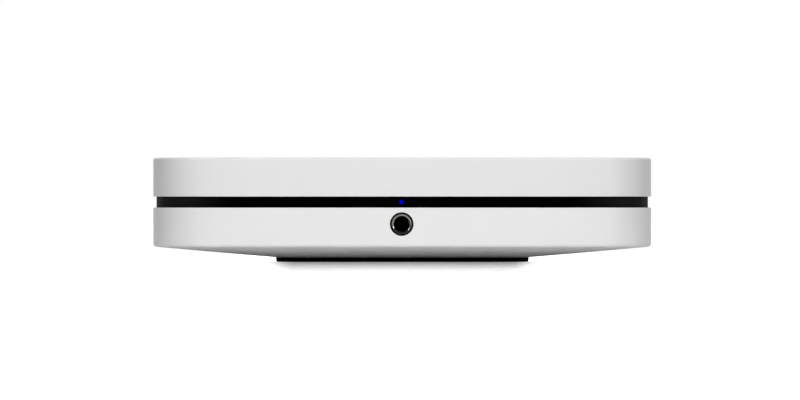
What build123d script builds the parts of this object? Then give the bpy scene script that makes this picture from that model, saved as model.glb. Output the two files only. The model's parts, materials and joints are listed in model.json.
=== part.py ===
from build123d import *
from math import cos, radians, sin
import os

# A desktop network music streamer: two moulded shells parted by a dark recessed band, on one rubber foot.
# All sizes are in millimetres. X runs to the right, Y to the rear and Z up, and the table is at Z = 0.

# Body outline, seen from above: straight sides and corners that tighten gradually
body_width = 220.0
body_depth = 146.0
body_core_radius = 30.0
body_blend_radius = 80.0
blend_angle = 15.0

# Layers of the body, from the table up
foot_height = 2.0
underside_drop = 4.6
lower_wall_height = 17.4
band_height = 4.85
upper_wall_height = 17.15

# Walls and outer edges of the two shells
side_wall = 2.5
top_wall = 2.5
floor_wall = 2.1
top_edge_radius = 1.2
seam_edge_bevel = 0.25
underside_edge_radius = 1.5

# Clearances and the run of a cut past its faces
fit_gap = 0.2
running_gap = 0.05
overrun = 1.0
join_tolerance = 0.001

# Rubber foot, and the flat that the underside slopes down to
foot_width = 112.0
foot_depth = 74.5
flat_core_radius = 15.0
flat_blend_radius = 40.0
foot_corner_radius = 19.0
foot_edge_radius = 0.8
flat_margin = 0.5

# Dark band between the shells, with a lip that locates both of them
band_recess = 1.4
band_wall = 2.8
lip_reach = 2.5

# Screws that hold the shells together, driven from below under the foot
case_screw_x_share = 0.41
case_screw_front_inset = 19.25
case_screw_rear_inset = 9.25
case_screw_radius = 1.45
case_screw_head_radius = 2.75
case_screw_head_height = 2.0
case_screw_length = 16.0
case_screw_recess = 3.0
pillar_radius = 4.5
pillar_height = 14.0
boss_radius = 3.75
boss_hole_depth = 9.0

# Touch panel in the top
touch_width = 150.0
touch_depth = 30.0
touch_corner_radius = 14.9
touch_thickness = 1.6
touch_centre_share = -0.2877
touch_ledge = 3.0
touch_sink = 0.1
sensor_thickness = 1.0

# Circuit boards, and the posts and screws that carry them
board_thickness = 1.6
board_margin = 1.2
board_rear_gap = 0.5
main_board_left_share = -0.4227
board_split_share = 0.2557
board_split_gap = 2.5
main_board_front_gap = 2.4
power_board_right_share = 0.4273
power_board_front_share = -0.315
post_radius = 3.2
post_hole_radius = 1.3
post_hole_depth = 3.2
board_screw_radius = 1.25
board_screw_length = 4.6
board_screw_head_radius = 2.6
board_screw_head_height = 1.7
main_post_shares = ((-0.382, -0.205), (-0.382, 0.205), (0.218, -0.329), (-0.018, 0.226))
power_post_shares = ((0.4045, -0.2466), (0.284, -0.281), (0.4045, 0.219))

# Headphone socket at the front
headphone_height = 16.8
headphone_hole_radius = 5.2
headphone_nose_radius = 5.1
headphone_bushing_radius = 4.45
headphone_bore_radius = 3.2
headphone_bevel_radius = 4.2
headphone_bevel_depth = 1.1
headphone_bushing_length = 8.0
headphone_face_sink = 0.1
headphone_body_width = 15.0
headphone_body_height = 11.6
headphone_body_length = 32.0
headphone_bore_depth = 34.0

# Contact springs of the headphone socket
headphone_leaf_thickness = 0.4
headphone_leaf_height = 3.0
headphone_leaf_offset = 4.7
headphone_tip_leaf_length = 9.0
headphone_ring_leaf_length = 13.0
headphone_slot_radius = 6.5
contact_press = 0.2

# Status light, light guide and the small upright board behind the band
light_radius = 1.05
light_flange_radius = 1.6
light_flange_length = 0.8
lamp_width = 2.4
lamp_height = 2.0
lamp_depth = 0.8
lamp_gap = 0.2
indicator_half_width = 15.0
indicator_thickness = 1.2
indicator_clearance = 0.8
indicator_leg_left = 9.2
indicator_leg_width = 4.0
indicator_socket_height = 4.0
indicator_socket_wall = 1.2
rail_width = 3.0
rail_grip = 1.5
receiver_x = -8.0
receiver_width = 5.0
receiver_height = 4.6
receiver_depth = 1.7

# Rear bay and its moulded panel
bay_half_width = 83.0
bay_depth = 9.0
bay_corner_radius = 2.0
bay_roof_drop = 0.2
panel_plate = 1.6
panel_wall = 1.4
panel_screw_radius = 1.25
panel_screw_length = 8.0
panel_screw_head_radius = 2.5
panel_screw_head_height = 1.3
panel_screw_slot_width = 0.6

# Round phono sockets
phono_pitch = 12.5
phono_first_x = -37.5
phono_axis_rise = 6.3
phono_barrel_radius = 4.15
phono_barrel_wall = 0.6
phono_barrel_step = 0.2
phono_barrel_length = 8.6
phono_collar_radius = 5.2
phono_collar_rise = 0.8
phono_pin_radius = 1.6
phono_contact_wall = 0.3
phono_face_sink = 0.5
phono_housing_depth = 12.0
phono_housing_height = 17.6
phono_housing_side = 0.1
phono_grip = 6.0

# Optical output with its spring shutter
optical_x = -26.0
optical_width = 9.7
optical_height = 10.6
optical_depth = 13.0
optical_port = 6.4
optical_port_lift = 1.6
optical_rise = 0.4
optical_cavity_depth = 9.5
shutter_thickness = 0.8
shutter_set_back = 0.5
shutter_pin_radius = 0.6
shutter_pin_reach = 0.7
shutter_side_gap = 0.15
emitter_radius = 1.3
emitter_length = 1.5

# Small round sockets: control inputs and the combined input
mini_places = (1.5, -7.0, -15.5)
mini_width = 7.6
mini_height = 6.6
mini_depth = 12.5
mini_bore_radius = 1.8
mini_bore_depth = 14.0
mini_nose_radius = 2.9
mini_nose_rise = 0.8
mini_slot_radius = 3.2
mini_slot_height = 2.0
mini_leaf_thickness = 0.25
mini_leaf_height = 1.6
mini_leaf_offset = 2.25
mini_leaf_length = 7.0

# Video return socket
video_x = 14.0
video_width = 14.6
video_height = 5.6
video_foot_width = 11.0
video_step = 2.0
video_depth = 11.5
video_wall = 0.4
video_rise = 0.6
video_tongue_width = 11.4
video_tongue_thickness = 1.4
video_tongue_length = 7.5

# Serial bus socket
bus_x = 30.0
bus_width = 13.2
bus_height = 5.9
bus_corner_radius = 0.8
bus_depth = 13.5
bus_wall = 0.4
bus_rise = 0.6
bus_lift = 0.6
bus_tongue_width = 11.0
bus_tongue_thickness = 1.9
bus_tongue_length = 9.0
bus_tongue_drop = 0.5

# Wired network socket
network_x = 46.0
network_width = 16.0
network_height = 13.4
network_depth = 20.0
network_wall = 0.5
network_rise = 0.4
network_port_width = 11.8
network_port_height = 6.8
network_port_depth = 12.5
network_port_lift = 2.8
network_latch_width = 6.2
network_latch_height = 1.4
network_recess_width = 9.4
network_recess_height = 1.9
network_recess_depth = 10.0
network_recess_start = 1.8
contact_count = 8
contact_pitch = 1.02
contact_width = 0.45
contact_thickness = 0.3
contact_length = 8.0
contact_slope = 15.0
contact_pivot_radius = 0.35
network_lamp_width = 2.4
network_lamp_height = 1.2
network_lamp_depth = 2.0

# Mains inlet
mains_x = 69.0
mains_width = 21.0
mains_height = 15.4
mains_depth = 18.0
mains_corner_radius = 1.5
mains_rise = 0.5
mains_pin_spacing = 8.6
mains_pin_radius = 1.2
mains_pin_length = 10.0
mains_port_radius = 4.3
mains_port_waist = 7.0
mains_port_depth = 12.5

# Parts on the main board
processor_x_share = 0.036
processor_y_share = 0.0
processor_side = 21.0
processor_height = 1.8
heat_sink_side = 30.0
heat_sink_base = 2.5
heat_sink_height = 12.0
heat_sink_fins = 8
heat_sink_fin = 1.2
wireless_x_share = 0.109
wireless_y_share = -0.26
wireless_width = 22.0
wireless_depth = 16.0
wireless_height = 2.6
converter_side = 9.0
converter_height = 1.2
converter_shares = ((-0.302, 0.233), (-0.302, 0.123), (-0.082, -0.315))
audio_capacitor_radius = 4.0
audio_capacitor_height = 11.0
audio_capacitor_pitch = 10.5
audio_capacitor_columns = 2
audio_capacitor_rows = 2
audio_capacitor_x_share = -0.33
audio_capacitor_y_share = -0.055

# Parts on the power board
transformer_x_share = 0.35
transformer_y_share = -0.0137
transformer_width = 24.0
transformer_depth = 24.0
transformer_height = 18.0
transformer_core_depth = 12.0
transformer_flange = 2.0
transformer_leg = 3.5
choke_x_share = 0.3045
choke_y_share = 0.192
choke_side = 16.0
choke_height = 15.0
fuse_x_share = 0.366
fuse_y_share = 0.188
fuse_length = 20.0
fuse_radius = 2.6
fuse_cap_length = 5.0
fuse_clip_height = 4.5
reservoir_x_share = 0.3114
reservoir_y_share = -0.1884
reservoir_radius = 8.0
reservoir_height = 20.0
output_capacitor_radius = 4.0
output_capacitor_height = 12.0
output_capacitor_y_share = -0.233
output_capacitor_x_share = 0.3705

# Leads inside the case
ribbon_x_share = -0.118
ribbon_width = 12.0
ribbon_thickness = 0.3
ribbon_bend_radius = 3.0
ribbon_run = 6.0
ribbon_plug_setback = 3.0
ribbon_socket_height = 5.0
ribbon_socket_depth = 4.0
ribbon_socket_side = 1.5
ribbon_upper_socket_height = 1.6
ribbon_grip = 3.0
lead_width = 7.5
lead_thickness = 1.2
lead_span = 10.0
lead_rise = 3.0
lead_y_share = 0.0274
lead_socket_width = 5.0
lead_socket_height = 6.0
lead_socket_side = 0.8
aerial_length = 34.0
aerial_height = 8.0
aerial_thickness = 0.8
aerial_lift = 2.0
aerial_lead_radius = 0.6
aerial_lead_height = 33.0
aerial_lead_inset = 4.0

# Levels and faces worked out from the sizes above
case_edge = foot_height + underside_drop
band_bottom = case_edge + lower_wall_height
band_top = band_bottom + band_height
cover_top = band_top + upper_wall_height
cover_ceiling = cover_top - top_wall
front = -body_depth / 2
rear = body_depth / 2
board_top = headphone_height - headphone_body_height / 2
board_bottom = board_top - board_thickness
panel_face = rear - bay_depth
panel_back = panel_face - panel_plate
board_rear = panel_back - board_rear_gap
bay_floor = case_edge + floor_wall + fit_gap + panel_wall
bay_roof = band_top - bay_roof_drop
phono_height = board_top + phono_axis_rise
screw_seat = foot_height + case_screw_recess
pillar_top = foot_height + pillar_height
boss_bottom = pillar_top + fit_gap
lamp_back = front + band_recess + band_wall + lamp_depth + 2 * lamp_gap + light_flange_length
light_height = (band_bottom + band_top) / 2
indicator_bottom = headphone_height + headphone_body_height / 2 + indicator_clearance
indicator_top = band_top + lip_reach
case_screw_x = case_screw_x_share * foot_width
case_screw_front_y = case_screw_front_inset - foot_depth / 2
case_screw_rear_y = foot_depth / 2 - case_screw_rear_inset
case_screw_places = [
    (x, y) for y in (case_screw_front_y, case_screw_rear_y) for x in (-case_screw_x, case_screw_x)
]
main_post_places = [(x * body_width, y * body_depth) for x, y in main_post_shares]
power_post_places = [(x * body_width, y * body_depth) for x, y in power_post_shares]
post_places = main_post_places + power_post_places
board_split = board_split_share * body_width
touch_centre_y = touch_centre_share * body_depth
headphone_leaf_reach = headphone_bore_radius - contact_press
mini_leaf_reach = mini_bore_radius - contact_press
processor_x = processor_x_share * body_width
processor_y = processor_y_share * body_depth
wireless_x = wireless_x_share * body_width
wireless_y = wireless_y_share * body_depth
transformer_x = transformer_x_share * body_width
transformer_y = transformer_y_share * body_depth
choke_x = choke_x_share * body_width
choke_y = choke_y_share * body_depth
fuse_x = fuse_x_share * body_width
fuse_y = fuse_y_share * body_depth
ribbon_x = ribbon_x_share * body_width
ribbon_plug_y = touch_centre_y + touch_depth / 2 - touch_ledge - ribbon_plug_setback
lead_y = lead_y_share * body_depth
phono_places = [phono_first_x - number * phono_pitch for number in range(4)]


def rounded_face(width, depth, core_radius, blend_radius, inset=0.0):
    """Rectangle whose corners tighten gradually, drawn in by inset on every side."""
    half_width = width / 2 - inset
    half_depth = depth / 2 - inset
    core = core_radius - inset
    blend = blend_radius - inset
    turn = radians(blend_angle)
    reach = blend * (1 + sin(turn) - cos(turn)) + core * (cos(turn) - sin(turn))
    entry = Vector(half_width - blend, half_depth - reach)
    middle = entry + Vector(cos(turn), sin(turn)) * (blend - core)
    leave = middle - Vector(sin(turn), cos(turn)) * (blend - core)
    corner = (
        CenterArc((entry.X, entry.Y), blend, 0, blend_angle),
        CenterArc((middle.X, middle.Y), core, blend_angle, 90 - 2 * blend_angle),
        CenterArc((leave.X, leave.Y), blend, 90 - blend_angle, blend_angle),
    )
    edges = [arc for part in corner for arc in (part, mirror(part, Plane.YZ))]
    edges += [mirror(arc, Plane.XZ) for arc in edges]
    straight_x = half_width - reach
    straight_y = half_depth - reach
    for side in (1, -1):
        edges.append(Line((side * half_width, -straight_y), (side * half_width, straight_y)))
        edges.append(Line((-straight_x, side * half_depth), (straight_x, side * half_depth)))
    return Face(Wire.combine([edge.edge() for edge in edges], tol=join_tolerance)[0])


def body_face(inset=0.0):
    """The body's outline, drawn in by inset."""
    return rounded_face(body_width, body_depth, body_core_radius, body_blend_radius, inset)


def flat_face():
    """The outline of the flat that carries the foot."""
    return rounded_face(foot_width, foot_depth, flat_core_radius, flat_blend_radius, -flat_margin)


def slab(face, low, high):
    """A flat face raised from one height to another."""
    return extrude(Pos(0, 0, low) * face, high - low, dir=(0, 0, 1))


def run(profile, start, end):
    """A profile drawn in X and Z, run along Y from start to end."""
    return extrude(Pos(0, start, 0) * Rot(90, 0, 0) * profile, end - start, dir=(0, 1, 0))


def block(x_low, x_high, y_low, y_high, z_low, z_high):
    """A rectangular block between two limits on each axis."""
    middle = ((x_low + x_high) / 2, (y_low + y_high) / 2, (z_low + z_high) / 2)
    return Pos(*middle) * Box(x_high - x_low, y_high - y_low, z_high - z_low)


def rod(radius, start, end):
    """A round bar between two points."""
    along = Vector(end) - Vector(start)
    return Plane(origin=start, z_dir=along) * Pos(0, 0, along.length / 2) * Cylinder(radius, along.length)


def turned(points, x, z):
    """A closed profile of (radius, y) points, turned about the line along Y through x and z."""
    return Pos(x, 0, z) * revolve(make_face(Polyline(*points, close=True)), Axis.Y)


def outline_profile(points):
    """A closed outline drawn in X and Z."""
    return make_face(Polyline(*points, close=True))


def edges_at(shape, height):
    """The edges of a shape that lie at one height."""
    margin = running_gap / 2
    return shape.edges().filter_by_position(Axis.Z, height - margin, height + margin)


def top_cover():
    """Upper shell: a flat top with a rounded edge, four screw bosses and the touch panel's seat."""
    shell = slab(body_face(), band_top, cover_top)
    shell = fillet(edges_at(shell, cover_top), top_edge_radius)
    shell = chamfer(edges_at(shell, band_top), seam_edge_bevel)
    shell -= slab(body_face(side_wall), band_top - overrun, cover_ceiling)
    for x, y in case_screw_places:
        boss = rod(boss_radius, (x, y, boss_bottom), (x, y, cover_ceiling + top_wall / 2))
        pilot = rod(
            case_screw_radius + running_gap, (x, y, boss_bottom - overrun), (x, y, boss_bottom + boss_hole_depth)
        )
        shell = shell + boss - pilot
    seat = touch_outline(0.0)
    window = touch_outline(touch_ledge)
    shell -= slab(seat, cover_top - touch_thickness - touch_sink, cover_top + overrun)
    shell -= slab(window, cover_ceiling - overrun, cover_top)
    return shell


def touch_outline(inset):
    """The touch panel's outline, drawn in by inset."""
    shape = RectangleRounded(touch_width - 2 * inset, touch_depth - 2 * inset, touch_corner_radius - inset)
    return Pos(0, touch_centre_y, 0) * shape


def touch_panel():
    """Glossy cover lens, let into the top."""
    top = cover_top - touch_sink
    return slab(touch_outline(fit_gap), top - touch_thickness, top)


def sensor_bottom():
    """Height of the touch sensor board's lower face."""
    return cover_top - touch_sink - touch_thickness - sensor_thickness


def touch_sensor():
    """Sensor board, bonded under the lens."""
    return slab(touch_outline(touch_ledge + fit_gap), sensor_bottom(), sensor_bottom() + sensor_thickness)


def middle_band():
    """Dark band, set back from both shells, with a lip inside them and rails for the indicator board."""
    inner = band_recess + band_wall
    ring = slab(body_face(band_recess), band_bottom, band_top)
    ring += slab(body_face(side_wall + fit_gap), band_bottom - lip_reach, band_top + lip_reach)
    ring -= slab(body_face(inner), band_bottom - lip_reach - overrun, band_top + lip_reach + overrun)
    edge = bay_half_width + panel_wall + fit_gap
    ring -= block(
        -edge, edge, panel_back - overrun, rear + overrun, band_bottom - lip_reach - overrun, indicator_top + overrun
    )
    notch = headphone_body_width / 2 + 2 * fit_gap
    inside = front + inner
    ring -= block(
        -notch, notch, front, inside + overrun, band_bottom - lip_reach - overrun, indicator_bottom - fit_gap
    )
    slot_front = lamp_back
    slot_back = slot_front + indicator_thickness
    for side in (-1, 1):
        near = indicator_half_width - rail_grip
        far = near + rail_width
        low, high = sorted((side * near, side * far))
        rail = block(
            low, high, inside - side_wall / 2, slot_back + rail_grip, band_bottom - lip_reach / 2, indicator_top
        )
        edge_low, edge_high = sorted((side * (near - overrun), side * (indicator_half_width + fit_gap)))
        rail -= block(
            edge_low, edge_high, slot_front - fit_gap, slot_back + fit_gap, indicator_bottom, indicator_top + overrun
        )
        ring += rail
    ring -= rod(
        light_radius + running_gap, (0, front, light_height), (0, inside + overrun, light_height)
    )
    return ring


def case_body():
    """Outer form of the lower shell, solid: walls with a rounded lower edge, and a slope in to the flat."""
    walls = slab(body_face(), case_edge, band_bottom)
    walls = fillet(edges_at(walls, case_edge), underside_edge_radius)
    walls = chamfer(edges_at(walls, band_bottom), seam_edge_bevel)
    rim = Pos(0, 0, case_edge) * body_face(underside_edge_radius)
    slope = loft([Pos(0, 0, foot_height) * flat_face(), rim], ruled=True)
    return walls + slope


def sloped_profile(flat_half, wall_half):
    """Outline of the inside, across the body: upright walls, slopes and a flat floor."""
    floor = foot_height + floor_wall
    rise = case_edge + floor_wall
    top = band_bottom + overrun
    right = ((flat_half, floor), (wall_half, rise), (wall_half, top))
    left = [(-x, z) for x, z in reversed(right)]
    return outline_profile(list(right) + left)


def case_hollow():
    """The lower shell's inside, with the posts and pillars left standing in it."""
    wide = body_width / 2 - side_wall
    deep = body_depth / 2 - side_wall
    hollow = run(sloped_profile(foot_width / 2 + flat_margin, wide), -deep, deep)
    across = Rot(0, 0, 90) * run(sloped_profile(foot_depth / 2 + flat_margin, deep), -wide, wide)
    hollow = hollow & across & slab(body_face(side_wall), foot_height, band_bottom + overrun)
    for x, y in post_places:
        hollow -= rod(post_radius, (x, y, 0), (x, y, board_bottom))
    for x, y in case_screw_places:
        hollow -= rod(pillar_radius, (x, y, 0), (x, y, pillar_top))
    return hollow


def bottom_case():
    """Lower shell with its posts, screw pillars, headphone hole and rear bay."""
    shell = case_body() - case_hollow()
    for x, y in post_places:
        shell -= rod(post_hole_radius, (x, y, board_bottom - post_hole_depth), (x, y, board_bottom + overrun))
    for x, y in case_screw_places:
        head = case_screw_head_radius + 2 * fit_gap
        shell -= rod(head, (x, y, 0), (x, y, screw_seat))
        shell -= rod(case_screw_radius + fit_gap, (x, y, 0), (x, y, pillar_top + overrun))
    outside = front - overrun
    inside = front + side_wall + overrun
    shell -= rod(headphone_hole_radius, (0, outside, headphone_height), (0, inside, headphone_height))
    mouth = bay_profile(0.0, band_bottom + bay_corner_radius + overrun)
    shell -= run(mouth, panel_back, rear + overrun)
    return shell


def bay_profile(growth, roof):
    """The rear bay's outline in X and Z, grown outwards by growth, with its roof at the height given."""
    low = bay_floor - growth
    height = roof + growth - low
    shape = RectangleRounded(2 * (bay_half_width + growth), height, bay_corner_radius)
    return Pos(0, low + height / 2) * shape


def rear_panel():
    """Flat panel at the bottom of the rear bay, with a hole for each socket."""
    panel = run(bay_profile(panel_wall, bay_roof), panel_back, panel_face)
    for hole in panel_holes():
        panel -= run(hole, panel_back - overrun, panel_face + overrun)
    return panel


def bay_liner():
    """Frame that lines the rear bay, from the panel to the inside of the shells' walls."""
    liner = run(bay_profile(panel_wall, bay_roof), panel_face, rear + overrun)
    liner -= run(bay_profile(0.0, bay_roof), panel_face - overrun, rear + 2 * overrun)
    low = bay_floor - panel_wall - overrun
    return liner & slab(body_face(side_wall + fit_gap), low, bay_roof + panel_wall + overrun)


def panel_holes():
    """Outlines of the socket holes in the rear panel."""
    holes = []
    for x in phono_places:
        holes.append(Pos(x, phono_height) * Circle(phono_collar_radius + fit_gap))
    for x in mini_places:
        holes.append(Pos(x, mini_height_above()) * Circle(mini_nose_radius + fit_gap))
    holes.append(upright_profile(optical_x, optical_width, optical_height, 0.0, fit_gap))
    holes.append(video_profile(fit_gap))
    holes.append(bus_profile(fit_gap))
    holes.append(upright_profile(network_x, network_width, network_height, 0.0, fit_gap))
    holes.append(mains_profile(fit_gap))
    for x in panel_screw_places():
        holes.append(Pos(x, panel_screw_height()) * Circle(panel_screw_radius + fit_gap))
    return holes


def upright_profile(x, width, height, lift, growth):
    """A rectangle in X and Z that stands on the board, raised by lift and grown by growth."""
    return Pos(x, board_top + lift + height / 2) * Rectangle(width + 2 * growth, height + 2 * growth)


def panel_screw_places():
    """Places along X of the screws between each pair of phono sockets."""
    return [phono_places[number] - phono_pitch / 2 for number in (0, 2)]


def panel_screw_height():
    """Height of the panel's screws, above the phono sockets."""
    return phono_height + phono_collar_radius + fit_gap + panel_screw_head_radius


def panel_screws():
    """Two self-tapping screws with a crossed slot."""
    screws = []
    for x in panel_screw_places():
        z = panel_screw_height()
        top = panel_face + panel_screw_head_height
        screw = turned(
            (
                (0, panel_face - panel_screw_length),
                (panel_screw_radius, panel_face - panel_screw_length),
                (panel_screw_radius, panel_face),
                (panel_screw_head_radius, panel_face),
                (panel_screw_head_radius - panel_screw_head_height / 2, top),
                (0, top),
            ),
            x,
            z,
        )
        half = panel_screw_slot_width / 2
        arm = panel_screw_head_radius / 2
        sunk = top - panel_screw_head_height / 2
        screw -= block(x - half, x + half, sunk, top + overrun, z - arm, z + arm)
        screw -= block(x - arm, x + arm, sunk, top + overrun, z - half, z + half)
        screws.append(screw)
    return Compound(children=screws)


def base_foot():
    """Rubber foot with a rounded lower edge."""
    foot = slab(RectangleRounded(foot_width, foot_depth, foot_corner_radius), 0, foot_height)
    return fillet(edges_at(foot, 0), foot_edge_radius)


def case_screws():
    """Four long screws, driven up through the pillars into the cover's bosses."""
    screws = []
    for x, y in case_screw_places:
        head = rod(case_screw_head_radius, (x, y, screw_seat - case_screw_head_height), (x, y, screw_seat))
        shank = rod(case_screw_radius, (x, y, screw_seat), (x, y, screw_seat + case_screw_length))
        screws.append(head + shank)
    return Compound(children=screws)


def board_screws():
    """One screw on each board post."""
    screws = []
    for x, y in post_places:
        head = rod(board_screw_head_radius, (x, y, board_top), (x, y, board_top + board_screw_head_height))
        shank = rod(board_screw_radius, (x, y, board_top - board_screw_length), (x, y, board_top))
        screws.append(head + shank)
    return Compound(children=screws)


def board_plate(x_low, x_high, y_low, places):
    """A circuit board cut to the case, with its screw holes and room for the pillars."""
    plate = slab(body_face(side_wall + board_margin), board_bottom, board_top)
    plate &= block(x_low, x_high, y_low, board_rear, board_bottom - overrun, board_top + overrun)
    for x, y in places:
        plate -= rod(board_screw_radius + fit_gap, (x, y, board_bottom - overrun), (x, y, board_top + overrun))
    for x, y in case_screw_places:
        plate -= rod(pillar_radius + 3 * fit_gap, (x, y, board_bottom - overrun), (x, y, board_top + overrun))
    return plate


def main_board():
    """Main circuit board."""
    left = main_board_left_share * body_width
    return board_plate(left, board_split, front + side_wall + main_board_front_gap, main_post_places)


def power_board():
    """Mains power board beside the main board."""
    left = board_split + board_split_gap
    right = power_board_right_share * body_width
    return board_plate(left, right, power_board_front_share * body_depth, power_post_places)


def headphone_body_front():
    """Where the headphone socket's body meets the inside of the front wall."""
    return front + side_wall + fit_gap


def headphone_body_rear():
    """Rear face of the headphone socket's body."""
    return headphone_body_front() + headphone_body_length


def headphone_body():
    """Socket body: a block on the board with a round nose, a long bore and a slot each side for the springs."""
    half_width = headphone_body_width / 2
    half_height = headphone_body_height / 2
    face = front + headphone_face_sink
    start = headphone_body_front()
    body = block(
        -half_width,
        half_width,
        start,
        headphone_body_rear(),
        headphone_height - half_height,
        headphone_height + half_height,
    )
    body += rod(headphone_nose_radius, (0, face, headphone_height), (0, start + overrun, headphone_height))
    body -= rod(
        headphone_bushing_radius + running_gap,
        (0, face - overrun, headphone_height),
        (0, face + headphone_bushing_length, headphone_height),
    )
    body -= rod(
        headphone_bore_radius + running_gap,
        (0, face, headphone_height),
        (0, front + headphone_bore_depth, headphone_height),
    )
    for side, length in ((-1, headphone_tip_leaf_length), (1, headphone_ring_leaf_length)):
        body -= leaf_slot(
            side, headphone_leaf_root(), headphone_height, length, headphone_leaf_offset,
            headphone_slot_radius, headphone_leaf_height + 2 * fit_gap, headphone_leaf_thickness,
        )
    return body


def headphone_leaf_root():
    """Place along Y of the springs' pivots."""
    return front + headphone_bore_depth - 2 * headphone_leaf_thickness


def leaf_slot(side, root, height, length, offset, outer, slot_height, thickness):
    """Room for a contact spring: a slot from the bore outwards, ending in a round seat for the pivot."""
    low, high = sorted((0.0, side * outer))
    reach = length + 2 * thickness
    slot = block(low, high, root - reach, root - thickness, height - slot_height / 2, height + slot_height / 2)
    seat = rod(
        thickness + running_gap,
        (side * offset, root, height - slot_height / 2),
        (side * offset, root, height + slot_height / 2),
    )
    return slot + seat


def leaf_spring(side, root, height, length, offset, reach, leaf_height, thickness):
    """A flat contact spring with a round pivot at its root and a pressed bend that reaches into the bore."""
    half = thickness / 2
    bend = length / 4
    inner = (
        (offset - half, root),
        (offset - half, root - length + 2 * bend),
        (reach, root - length + bend),
        (offset - half, root - length),
    )
    outer = (
        (offset + half, root - length),
        (reach + thickness, root - length + bend),
        (offset + half, root - length + 2 * bend),
        (offset + half, root),
    )
    outline = [(side * x, y) for x, y in inner + outer]
    strip = slab(make_face(Polyline(*outline, close=True)), height - leaf_height / 2, height + leaf_height / 2)
    pivot = rod(
        thickness, (side * offset, root, height - leaf_height / 2), (side * offset, root, height + leaf_height / 2)
    )
    return strip + pivot


def headphone_spring(side, length):
    """One contact spring of the headphone socket."""
    return leaf_spring(
        side, headphone_leaf_root(), headphone_height, length, headphone_leaf_offset,
        headphone_leaf_reach, headphone_leaf_height, headphone_leaf_thickness,
    )


def headphone_bushing():
    """Nickel bushing with a wide polished bevel at its mouth."""
    face = front + headphone_face_sink
    return turned(
        (
            (headphone_bushing_radius, face),
            (headphone_bevel_radius, face),
            (headphone_bore_radius, face + headphone_bevel_depth),
            (headphone_bore_radius, face + headphone_bushing_length),
            (headphone_bushing_radius, face + headphone_bushing_length),
        ),
        0,
        headphone_height,
    )


def light_guide():
    """Clear guide that carries the status light through the band."""
    face = front + band_recess
    flange = front + band_recess + band_wall + lamp_gap
    return turned(
        (
            (0, face),
            (light_radius, face),
            (light_radius, flange),
            (light_flange_radius, flange),
            (light_flange_radius, flange + light_flange_length),
            (0, flange + light_flange_length),
        ),
        0,
        light_height,
    )


def status_lamp():
    """Lamp on the indicator board, just behind the light guide."""
    return block(
        -lamp_width / 2,
        lamp_width / 2,
        lamp_back - lamp_depth,
        lamp_back,
        light_height - lamp_height / 2,
        light_height + lamp_height / 2,
    )


def infrared_receiver():
    """Remote control receiver beside the lamp, looking out through the dark band."""
    lens_radius = receiver_width / 4
    body = block(
        receiver_x - receiver_width / 2,
        receiver_x + receiver_width / 2,
        lamp_back - receiver_depth / 2,
        lamp_back,
        light_height - receiver_height / 2,
        light_height + receiver_height / 2,
    )
    lens = rod(
        lens_radius,
        (receiver_x, lamp_back - receiver_depth, light_height),
        (receiver_x, lamp_back - receiver_depth / 2, light_height),
    )
    return body + lens


def indicator_board():
    """Small upright board in the band's rails, with a leg down to its socket on the main board."""
    board = block(
        -indicator_half_width,
        indicator_half_width,
        lamp_back,
        lamp_back + indicator_thickness,
        indicator_bottom + fit_gap,
        indicator_top,
    )
    leg = block(
        indicator_leg_left,
        indicator_leg_left + indicator_leg_width,
        lamp_back,
        lamp_back + indicator_thickness,
        board_top + indicator_socket_wall,
        indicator_bottom + 2 * fit_gap,
    )
    return board + leg


def indicator_socket():
    """Socket that takes the indicator board's leg."""
    wall = indicator_socket_wall
    left = indicator_leg_left
    right = left + indicator_leg_width
    back = lamp_back + indicator_thickness
    body = block(left - wall, right + wall, lamp_back - wall, back + wall, board_top, board_top + indicator_socket_height)
    gap = running_gap
    top = board_top + indicator_socket_height + overrun
    return body - block(left - gap, right + gap, lamp_back - gap, back + gap, board_top + wall - gap, top)


def phono_housings():
    """Two plastic blocks on the board, each behind a pair of phono sockets."""
    return Compound(children=[phono_housing(first) for first in (0, 2)])


def phono_housing(first):
    """Plastic block behind a pair of phono sockets."""
    centre = phono_places[first] - phono_pitch / 2
    half = phono_pitch - phono_housing_side
    body = block(
        centre - half, centre + half, panel_back - phono_housing_depth, panel_back,
        board_top, board_top + phono_housing_height,
    )
    for number in (first, first + 1):
        x = phono_places[number]
        start = (x, panel_back - phono_grip - running_gap, phono_height)
        root = phono_barrel_radius - phono_barrel_step
        body -= rod(root + running_gap, start, (x, panel_back + overrun, phono_height))
    screw_start = (centre, panel_face - panel_screw_length - running_gap, panel_screw_height())
    body -= rod(panel_screw_radius + running_gap, screw_start, (centre, panel_back + overrun, panel_screw_height()))
    return body


def phono_barrels():
    """Plated barrels that a phono plug's collar slides over."""
    outer = phono_barrel_radius
    inner = outer - phono_barrel_wall
    root = outer - phono_barrel_step
    start = panel_back - phono_grip
    step = panel_face + phono_collar_rise
    end = panel_face + phono_barrel_length
    lead = phono_barrel_wall / 2
    profile = (
        (inner, start), (root, start), (root, step), (outer, step), (outer, end - lead), (outer - lead, end), (inner, end)
    )
    return Compound(children=[turned(profile, x, phono_height) for x in phono_places])


def phono_insulators():
    """Insulators between the barrels and their centre contacts."""
    outer = phono_barrel_radius - phono_barrel_wall - running_gap
    inner = phono_pin_radius + phono_contact_wall + running_gap
    start = panel_back - phono_grip
    end = panel_face + phono_barrel_length - phono_face_sink
    profile = ((inner, start), (outer, start), (outer, end), (inner, end))
    return Compound(children=[turned(profile, x, phono_height) for x in phono_places])


def phono_contacts():
    """Centre contacts, each a plated sleeve."""
    outer = phono_pin_radius + phono_contact_wall
    start = panel_back - phono_grip
    end = panel_face + phono_barrel_length - 2 * phono_face_sink
    profile = ((phono_pin_radius, start), (outer, start), (outer, end), (phono_pin_radius, end))
    return Compound(children=[turned(profile, x, phono_height) for x in phono_places])


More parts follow.
